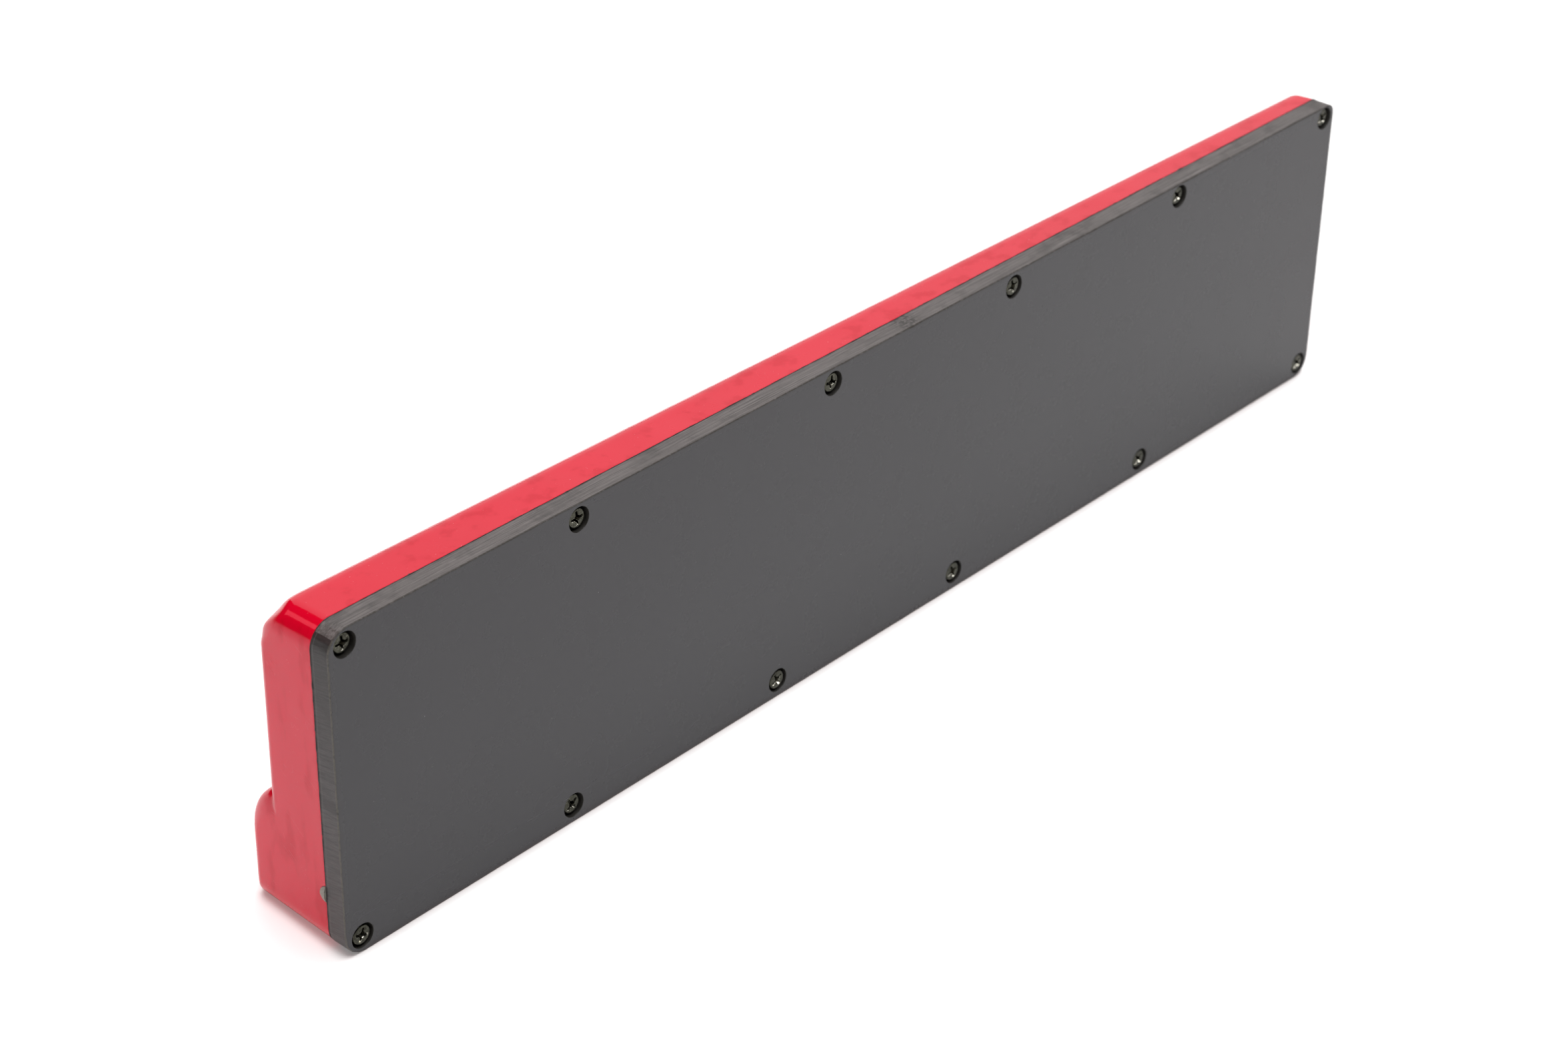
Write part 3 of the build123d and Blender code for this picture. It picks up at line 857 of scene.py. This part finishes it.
def red_plastic():
    mat = Material("gloss_red_moulding")
    broad = mat.noise(scale=0.035, detail=2, rough=0.5)
    color = mat.mix(mat.fade(broad, over=(0.3, 0.7)),
                    low=(0.700, 0.0010, 0.0190), high=(0.735, 0.0014, 0.0220))
    smear = mat.noise(scale=0.16, detail=3, rough=0.6, at=mat.coords(scale=(1, 1, 0.35)))
    smudge = mat.fade(smear, over=(0.52, 0.66))
    color = mat.stain(color, smudge, share=0.45, tone=(0.560, 0.0012, 0.0140))
    dust = mat.most(mat.specks(scale=0.42, size=0.16, share=0.22, seed=3.1),
                    mat.specks(scale=1.1, size=0.09, share=0.09, seed=8.7), clamp=True)
    color = mat.stain(color, dust, share=0.42, tone=(0.95, 0.55, 0.58))
    line = mat.most(
        mat.scratches(scale=0.35, angle=0.9, width=0.006, share=0.30, seed=2.0),
        mat.scratches(scale=0.30, angle=-0.6, width=0.006, share=0.30, seed=7.0, plane="YZ"),
        clamp=True)
    base_rough = 0.075
    rough = mat.weighted(base_rough, (smudge, 0.10),
                         (mat.noise(scale=0.9, detail=4, rough=0.6), 0.03), (line, 0.25))
    normal = mat.bump(mat.noise(scale=0.045, detail=1, rough=0.4), depth=0.30)
    normal = mat.bump(mat.noise(scale=0.16, detail=2, rough=0.5), depth=0.018, normal=normal)
    normal = mat.bump(mat.noise(scale=1.6, detail=2, rough=0.5), depth=0.0012, normal=normal)
    normal = mat.bump(mat.minus(dust, line), depth=0.006, normal=normal)
    base_spec, smudge_loss = 0.5, 0.12
    return mat.finish(color=color, rough=rough, normal=normal, ior=1.49,
                      tint=(1.0, 0.84, 1.0),
                      spec=mat.minus(base_spec, mat.times(smudge, smudge_loss)))


def inner_plastic():
    mat = Material("shell_inside")
    grain = mat.noise(scale=0.8, detail=4, rough=0.6)
    color = mat.mix(grain, low=(0.46, 0.004, 0.012), high=(0.56, 0.006, 0.018))
    return mat.finish(color=color, rough=mat.fade(grain, over=(0, 1), to=(0.4, 0.6)),
                      normal=mat.bump(grain, depth=0.03))


def sheet_face():
    mat = Material("cover_sheet_face")
    x, _, z = mat.axes()
    brush = mat.noise(scale=1.0, detail=3, rough=0.6, at=mat.coords(scale=(2.2, 1, 0.06)))
    broad = mat.noise(scale=0.012, detail=2, rough=0.5)
    color = mat.mix(mat.fade(broad, over=(0.35, 0.65)),
                    low=(0.0330, 0.0303, 0.0352), high=(0.0350, 0.0324, 0.0374))
    color = mat.stain(color, mat.fade(brush, over=(0.45, 0.75)), share=0.04,
                      tone=(0.048, 0.047, 0.050))
    pale = mat.most(mat.specks(scale=0.22, size=0.16, share=0.16, seed=1.7),
                    mat.specks(scale=0.6, size=0.07, share=0.10, seed=5.2), clamp=True)
    pit = mat.specks(scale=0.26, size=0.13, share=0.24, seed=9.9)
    color = mat.stain(color, pale, share=0.55, tone=(0.42, 0.42, 0.40))
    color = mat.stain(color, pit, share=0.8, tone=(0.004, 0.004, 0.004))

    # broken line above the low left bore, falling slightly towards +x
    slope, start_z, waver = -0.0320, 11.2, 0.5
    line_z = mat.plus(mat.plus(mat.times(x, slope), start_z),
                      mat.times(mat.noise(scale=0.05, detail=1), waver))
    ends = mat.times(mat.fade(x, over=(5.0, 9.0)), mat.fade(x, over=(128.0, 96.0)))
    scribe = mat.times(mat.band(z, line_z, over=(0.16, 0.02)), ends)
    scribe = mat.times(scribe, mat.fade(mat.noise(scale=0.12, detail=3, rough=0.6),
                                        over=(0.36, 0.58)))
    # small ring mark near the low left corner
    ring_x, ring_z, ring_r = 4.3, 12.2, 1.45
    off_x, off_z = mat.minus(x, ring_x), mat.minus(z, ring_z)
    radius = mat.math("SQRT", mat.plus(mat.times(off_x, off_x), mat.times(off_z, off_z)))
    ring = mat.times(mat.band(radius, ring_r, over=(0.24, 0.03)),
                     mat.fade(mat.noise(scale=0.7, detail=2, rough=0.5), over=(0.36, 0.60)))
    # fine scratches all over, and long streaks near the edges
    fine = mat.most(mat.scratches(scale=0.30, angle=0.35, width=0.005, share=0.40, seed=3.0),
                    mat.scratches(scale=0.42, angle=-1.1, width=0.004, share=0.30, seed=11.0))
    streak = mat.scratches(scale=1.6, angle=1.52, width=0.020, share=0.32, seed=5.0)
    low_margin, left_stretch, left_margin = 6.0, 1.5, 3.0
    near = mat.least(mat.minus(HEIGHT, z),
                     mat.least(mat.plus(z, low_margin),
                               mat.plus(mat.times(x, left_stretch), left_margin)))
    streak = mat.times(streak, mat.fade(near, over=(26.0, 4.0)))
    fine_share = 0.04
    marks = mat.most(mat.most(scribe, ring), mat.times(fine, fine_share), clamp=True)
    color = mat.stain(color, marks, share=0.26, tone=(0.13, 0.13, 0.13))
    color = mat.stain(color, streak, share=0.10, tone=(0.075, 0.074, 0.074))
    # dull rub at the rim of the sheet
    rim = mat.least(mat.least(x, mat.minus(LENGTH, x)), mat.least(z, mat.minus(HEIGHT, z)))
    rub = mat.times(mat.fade(rim, over=(2.4, 0.2)),
                    mat.fade(mat.noise(scale=0.5, detail=3, rough=0.6), over=(0.3, 0.7)))
    color = mat.stain(color, rub, share=0.30, tone=(0.060, 0.056, 0.052))

    blot = mat.noise(scale=0.09, detail=3, rough=0.6)
    rough = mat.weighted(mat.fade(blot, over=(0.3, 0.7), to=(0.25, 0.28)),
                         (brush, 0.004), (marks, 0.16), (rub, 0.15))
    normal = mat.bump(mat.noise(scale=0.012, detail=1, rough=0.4), depth=0.10)
    mark_depth = 0.4                        # relative to the pits
    relief = mat.minus(pale, mat.plus(pit, mat.times(marks, mark_depth)))
    return mat.finish(color=color, rough=rough, ior=1.5,
                      normal=mat.bump(relief, depth=0.03, normal=normal))


def sawn_edge(long_edge):
    """Strokes run along the long edges, and across the thickness at the ends."""
    mat = Material("cover_sheet_sawn_top" if long_edge else "cover_sheet_sawn_end")
    x, y, z = mat.axes()
    if long_edge:
        coarse_at = mat.coords(scale=(0.035, 2.4, 2.4))
        fine_at = mat.coords(scale=(0.16, 7.0, 7.0))
        dark, light = (0.050, 0.043, 0.040), (0.195, 0.176, 0.170)
        arris_tone, rough_range = (0.030, 0.022, 0.016), (0.46, 0.62)
    else:
        slanted = mat.coords(turn=(0.17, 0, 0))
        coarse_at = mat.coords(scale=(1.0, 0.10, 1.5), source=slanted)
        fine_at = mat.coords(scale=(2.0, 0.35, 5.5), source=slanted)
        dark, light = (0.001, 0.001, 0.001), (0.092, 0.087, 0.087)
        arris_tone, rough_range = (0.120, 0.108, 0.088), (0.40, 0.55)
    coarse = mat.noise(scale=1.0, detail=4, rough=0.65, at=coarse_at)
    fine = mat.noise(scale=1.0, detail=4, rough=0.7, at=fine_at)
    coarse_share, fine_share = 0.6, 0.4
    strokes = mat.plus(mat.times(coarse, coarse_share), mat.times(fine, fine_share))
    color = mat.mix(mat.fade(strokes, over=(0.34, 0.66)), low=dark, high=light)
    blot = mat.noise(scale=0.11, detail=3, rough=0.6)
    color = mat.stain(color, mat.fade(blot, over=(0.50, 0.72)), share=0.40,
                      tone=(0.022, 0.020, 0.018))
    if long_edge:
        # dark broken patch near mid length
        scuff = mat.times(mat.band(x, 224.0, over=(6.5, 1.0)),
                          mat.fade(mat.noise(scale=0.9, detail=4, rough=0.65),
                                   over=(0.42, 0.56)))
        color = mat.stain(color, scuff, share=0.75, tone=(0.014, 0.012, 0.010))
    else:
        # painted shade darker towards the top, a dark band at mid height, painted floor light
        # lighter towards the bottom
        color = mat.mix(mat.fade(z, over=(45.0, 100.0), to=(0.0, 0.72)),
                        low=color, high=(0.008, 0.007, 0.006))
        band_z, band_slope = 47.8, 0.10
        scuff = mat.band(z, mat.plus(band_z, mat.times(y, band_slope)), over=(2.4, 1.2))
        color = mat.stain(color, scuff, share=0.70, tone=(0.014, 0.013, 0.013))
        color = mat.mix(mat.fade(z, over=(60.0, 0.0), to=(0.0, 0.42)),
                        low=color, high=(0.085, 0.080, 0.078))
        # pale line near the inner face
        line_y, waver = 5.35, 0.5
        line_at = mat.plus(line_y, mat.times(mat.noise(scale=0.05, detail=1), waver))
        color = mat.stain(color, mat.band(y, line_at, over=(0.22, 0.03)), share=0.42,
                          tone=(0.125, 0.120, 0.115))
    # brown arris and pale chips on the outer side
    arris = mat.times(mat.fade(y, over=(0.55, 0.22)),
                      mat.fade(mat.noise(scale=0.8, detail=3, rough=0.7), over=(0.25, 0.55)))
    color = mat.stain(color, arris, share=0.80, tone=arris_tone)
    chip = mat.times(mat.specks(scale=0.8, size=0.18, share=0.10, seed=4.4),
                     mat.fade(y, over=(1.4, 0.3)))
    color = mat.mix(chip, low=color, high=(0.34, 0.31, 0.26))
    normal = mat.bump(coarse, depth=0.110)
    normal = mat.bump(fine, depth=0.045, normal=normal)
    normal = mat.bump(mat.noise(scale=6.0, detail=3, rough=0.6), depth=0.006, normal=normal)
    return mat.finish(color=color, rough=mat.fade(strokes, over=(0.3, 0.7), to=rough_range),
                      normal=normal, ior=1.5)


def bore_wall():
    mat = Material("cover_sheet_bore")
    rings = mat.noise(scale=1.0, detail=2, rough=0.6, at=mat.coords(scale=(0.2, 9.0, 0.2)))
    color = mat.mix(rings, low=(0.018, 0.017, 0.016), high=(0.050, 0.046, 0.040))
    return mat.finish(color=color, rough=mat.fade(rings, over=(0, 1), to=(0.30, 0.50)),
                      normal=mat.bump(rings, depth=0.012))


def sealant():
    mat = Material("black_sealant")
    grain = mat.noise(scale=1.4, detail=4, rough=0.65)
    color = mat.mix(mat.fade(grain, over=(0.35, 0.65)),
                    low=(0.030, 0.006, 0.006), high=(0.016, 0.013, 0.012))
    return mat.finish(color=color, rough=mat.fade(grain, over=(0, 1), to=(0.35, 0.65)),
                      normal=mat.bump(grain, depth=0.05))


def rubber():
    mat = Material("grey_rubber")
    grain = mat.noise(scale=1.6, detail=5, rough=0.65)
    color = mat.mix(mat.fade(grain, over=(0.3, 0.7)),
                    low=(0.235, 0.230, 0.195), high=(0.335, 0.330, 0.285))
    color = mat.stain(color, mat.specks(scale=1.2, size=0.22, share=0.18, seed=2.2),
                      share=0.6, tone=(0.05, 0.045, 0.04))
    return mat.finish(color=color, rough=mat.fade(grain, over=(0, 1), to=(0.45, 0.7)),
                      normal=mat.bump(grain, depth=0.04))


def screw_steel():
    mat = Material("dark_oxide_steel")
    grain = mat.noise(scale=1.3, detail=4, rough=0.65)
    color = mat.mix(mat.fade(grain, over=(0.35, 0.65)),
                    low=(0.034, 0.033, 0.024), high=(0.075, 0.074, 0.056))
    wear_and_painted_glint = mat.fade(mat.noise(scale=2.6, detail=3, rough=0.7), over=(0.60, 0.72))
    color = mat.stain(color, wear_and_painted_glint, share=0.6, tone=(0.42, 0.41, 0.36))
    dirt = mat.fade(mat.noise(scale=1.1, detail=4, rough=0.6, at=mat.coords(shift=(7, 3, 1))),
                    over=(0.56, 0.70))
    color = mat.stain(color, dirt, share=0.7, tone=(0.022, 0.020, 0.015))
    rough = mat.weighted(mat.fade(grain, over=(0.3, 0.7), to=(0.14, 0.26)), (dirt, 0.25))
    normal = mat.bump(grain, depth=0.020)
    normal = mat.bump(mat.noise(scale=7.0, detail=3, rough=0.6), depth=0.006, normal=normal)
    return mat.finish(color=color, rough=rough, metal=0.92, normal=normal)


def recess_steel():
    mat = Material("recess_steel_painted_glint")
    grain = mat.noise(scale=2.2, detail=4, rough=0.65)
    facing = mat.add("ShaderNodeNewGeometry").outputs["True Normal"]
    upward = mat.axes(facing)[2]            # painted glint: the recess walls that face up are given a bright colour
    # painted glint, patchy by grain, where the recess walls face up
    wear_and_painted_glint = mat.times(mat.fade(upward, over=(0.10, 0.45)), mat.fade(grain, over=(0.34, 0.50)))
    color = mat.mix(wear_and_painted_glint, low=(0.018, 0.017, 0.012), high=(0.86, 0.83, 0.72))
    fine = mat.noise(scale=5.0, detail=3, rough=0.6)
    return mat.finish(color=color, rough=mat.fade(grain, over=(0.3, 0.7), to=(0.26, 0.12)),
                      metal=1.0, normal=mat.bump(fine, depth=0.006))


def brass():
    mat = Material("insert_brass")
    grain = mat.noise(scale=2.0, detail=4, rough=0.6)
    color = mat.mix(grain, low=(0.50, 0.33, 0.10), high=(0.66, 0.47, 0.18))
    return mat.finish(color=color, rough=mat.fade(grain, over=(0, 1), to=(0.25, 0.45)),
                      metal=1.0, normal=mat.bump(grain, depth=0.02))


# ----------------------------------------------------------------------------
# assemble the object
# ----------------------------------------------------------------------------
red, inside = red_plastic(), inner_plastic()
cover_materials = [sheet_face(), sawn_edge(False), sawn_edge(True), bore_wall()]
seal_material, plug_material = sealant(), rubber()
screw_materials = [screw_steel(), recess_steel()]
brass_material = brass()

shell = build_shell(red, inside)
cut_notch(shell, inside)
bosses = build_bosses(inside)
cover = build_cover(cover_materials)
bead = build_seal(seal_material)
plug = build_plug(plug_material)
corner = build_screws("corner_screw_set", CORNERS, screw_materials)
top_row = build_screws("top_edge_screw_set", TOP_ROW, screw_materials)
low_row = build_screws("low_edge_screw_set", LOW_ROW, screw_materials)

for piece, replaced, slot in (
        (shell, ["front_shell"], "shell_plastic"), (bosses, [], "shell_plastic"),
        (cover, ["rear_cover"], "cover_sheet"), (bead, ["rim_seal"], "sealant"),
        (plug, ["cable_plug"], "plug_rubber"), (corner, ["corner_screws"], "screw_steel"),
        (top_row, ["top_edge_screws"], "screw_steel"),
        (low_row, ["low_edge_screws"], "screw_steel")):
    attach(piece, "root")
    if replaced:
        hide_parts(*replaced)
for name in ("corner_inserts", "top_edge_inserts", "low_edge_inserts"):
    insert_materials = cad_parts[name].data.materials
    insert_materials.clear()
    insert_materials.append(brass_material)

# ----------------------------------------------------------------------------
# stage: pale floor, soft studio light, camera (in metres)
# ----------------------------------------------------------------------------
# the floor is tilted to touch both the cover's lower edge and the bulge
LEAN = math.atan2(RIM_Z + LOW_RISE * (DEEP - RIM_Y), DEEP - 2.0)
FLOOR_HALF = 30.0
FLOOR_GAP = 0.00005
# colour of the painted contact shadow, tinted red as painted bounce light from the shell
FLOOR_TONE, PAINTED_SHADOW_TONE = (0.86, 0.855, 0.85), (0.66, 0.46, 0.44)


def floor_material():
    material = bpy.data.materials.new("stage_floor")
    material.use_nodes = True
    tree = material.node_tree
    bsdf = tree.nodes["Principled BSDF"].inputs
    # bright to the camera, softer to the object
    rays = new_node(tree, "ShaderNodeLightPath")
    glow = new_node(tree, "ShaderNodeMapRange")
    glow.inputs["To Min"].default_value, glow.inputs["To Max"].default_value = 0.34, 0.50
    # tight contact shadow, painted into the floor's colour and glow from ambient occlusion
    contact = new_node(tree, "ShaderNodeAmbientOcclusion", samples=8)
    contact.inputs["Distance"].default_value = 0.0045
    shade = new_node(tree, "ShaderNodeMapRange", interpolation_type="SMOOTHSTEP")
    fade_start, fade_end, darkest, clear = 0.30, 0.90, 0.40, 1.0
    shade_values = (contact.outputs["AO"], fade_start, fade_end, darkest, clear)
    for socket, value in zip(shade.inputs, shade_values):
        put(tree, socket, value)
    strength = new_node(tree, "ShaderNodeMath", operation="MULTIPLY")
    tone = new_node(tree, "ShaderNodeMix", data_type="RGBA")
    for socket, value in (
            (bsdf["Base Color"], FLOOR_TONE), (bsdf["Roughness"], 0.55),
            (bsdf["Specular IOR Level"], 0.2), (bsdf["Emission Color"], (1, 1, 1)),
            (glow.inputs[0], rays.outputs["Is Camera Ray"]),
            (strength.inputs[0], glow.outputs[0]), (strength.inputs[1], shade.outputs[0]),
            (tone.inputs[0], shade.outputs[0]), (tone.inputs[6], PAINTED_SHADOW_TONE),
            (tone.inputs[7], FLOOR_TONE), (bsdf["Emission Strength"], strength.outputs[0]),
            (bsdf["Base Color"], tone.outputs[2])):
        put(tree, socket, value)
    return material


def build_floor():
    material = floor_material()
    mesh = bpy.data.meshes.new("stage_floor")
    corners = [(FLOOR_HALF * x, FLOOR_HALF * y, 0)
               for x, y in ((-1, -1), (1, -1), (1, 1), (-1, 1))]
    mesh.from_pydata(corners, [], [(0, 1, 2, 3)])
    mesh.materials.append(material)
    floor = bpy.data.objects.new("stage_floor", mesh)
    bpy.context.scene.collection.objects.link(floor)
    place = Matrix.Translation((0, plate_lo.y, cad_lo.z - FLOOR_GAP))
    floor.matrix_world = place @ Matrix.Rotation(LEAN, 4, "X")


def area_light(name, place, turn, size, power, color=(1, 1, 1)):
    light = bpy.data.lights.new(name, "AREA")
    light.shape, light.size, light.size_y = "RECTANGLE", size[0], size[1]
    light.energy, light.color = power, color
    lamp = bpy.data.objects.new(name, light)
    bpy.context.scene.collection.objects.link(lamp)
    lamp.location = place
    lamp.rotation_mode = "QUATERNION"
    lamp.rotation_quaternion = turn


def softbox(name, place, look, size, power):
    turn = (Vector(look) - Vector(place)).to_track_quat("-Z", "Y")
    area_light(name, place, turn, size, power)


def strip_light():
    """Narrow pink light above the left end, on the shell's side."""
    spot = Vector((-0.2165, -0.0066, 0.098))
    aim = Vector((-0.368, 0.754, 0.545)).normalized()
    side = Vector((0, 1, 0)).cross(aim).normalized()
    distance, shift = 1.4, 0.05
    turn = Matrix((side, aim.cross(side), aim)).transposed().to_quaternion()
    area_light("strip", place=spot + aim * distance + side * shift, turn=turn,
               size=(0.31, 0.60), power=1.7, color=(1.0, 0.26, 0.30))


def build_world():
    """White to the camera, almost dark as a light."""
    world = bpy.data.worlds.new("studio")
    bpy.context.scene.world = world
    world.use_nodes = True
    tree = world.node_tree
    tree.nodes.clear()
    out = new_node(tree, "ShaderNodeOutputWorld")
    lighting = new_node(tree, "ShaderNodeBackground")
    backdrop = new_node(tree, "ShaderNodeBackground")
    for background, strength in ((lighting, 0.01), (backdrop, 1.0)):
        background.inputs[0].default_value = (1, 1, 1, 1)
        background.inputs[1].default_value = strength
    choose = new_node(tree, "ShaderNodeMixShader")
    rays = new_node(tree, "ShaderNodeLightPath")
    put(tree, choose.inputs[0], rays.outputs["Is Camera Ray"])
    put(tree, choose.inputs[1], lighting.outputs[0])
    put(tree, choose.inputs[2], backdrop.outputs[0])
    put(tree, out.inputs[0], choose.outputs[0])


def build_camera():
    lens = bpy.data.cameras.new("camera")
    lens.lens, lens.sensor_width = 77.2, 36.0
    lens.clip_start, lens.clip_end = 0.01, 100
    lens.dof.use_dof = True
    lens.dof.focus_distance = 0.885
    lens.dof.aperture_fstop = 22.0
    camera = bpy.data.objects.new("camera", lens)
    bpy.context.scene.collection.objects.link(camera)
    right = Vector((0.6645695, -0.74705253, 0.0161216))
    up = Vector((0.37743235, 0.35422388, 0.85561105))
    back = Vector((-0.64489705, -0.56252819, 0.51736818))
    place = Vector(ORIGIN) + Vector((-0.44308513, -0.53364174, 0.5489466))
    turn = Matrix((right, up, back)).transposed()
    camera.matrix_world = Matrix.Translation(place) @ turn.to_4x4()
    bpy.context.scene.camera = camera


build_floor()
softbox("overhead_softbox", place=(0.12, -0.20, 2.0), look=(0, 0, 0), size=(2.2, 2.0), power=53)
softbox("back_softbox", place=(1.49, 1.50, 1.12), look=(-0.15, 0, 0.1), size=(2.7, 1.9),
        power=14.0)
softbox("side_softbox", place=(-1.9, 0.18, 0.10), look=(-0.22, 0, 0.05), size=(0.9, 0.4),
        power=4.6)
strip_light()
build_world()
build_camera()
bpy.context.scene.view_settings.view_transform = "Standard"
bpy.context.scene.view_settings.look = "None"
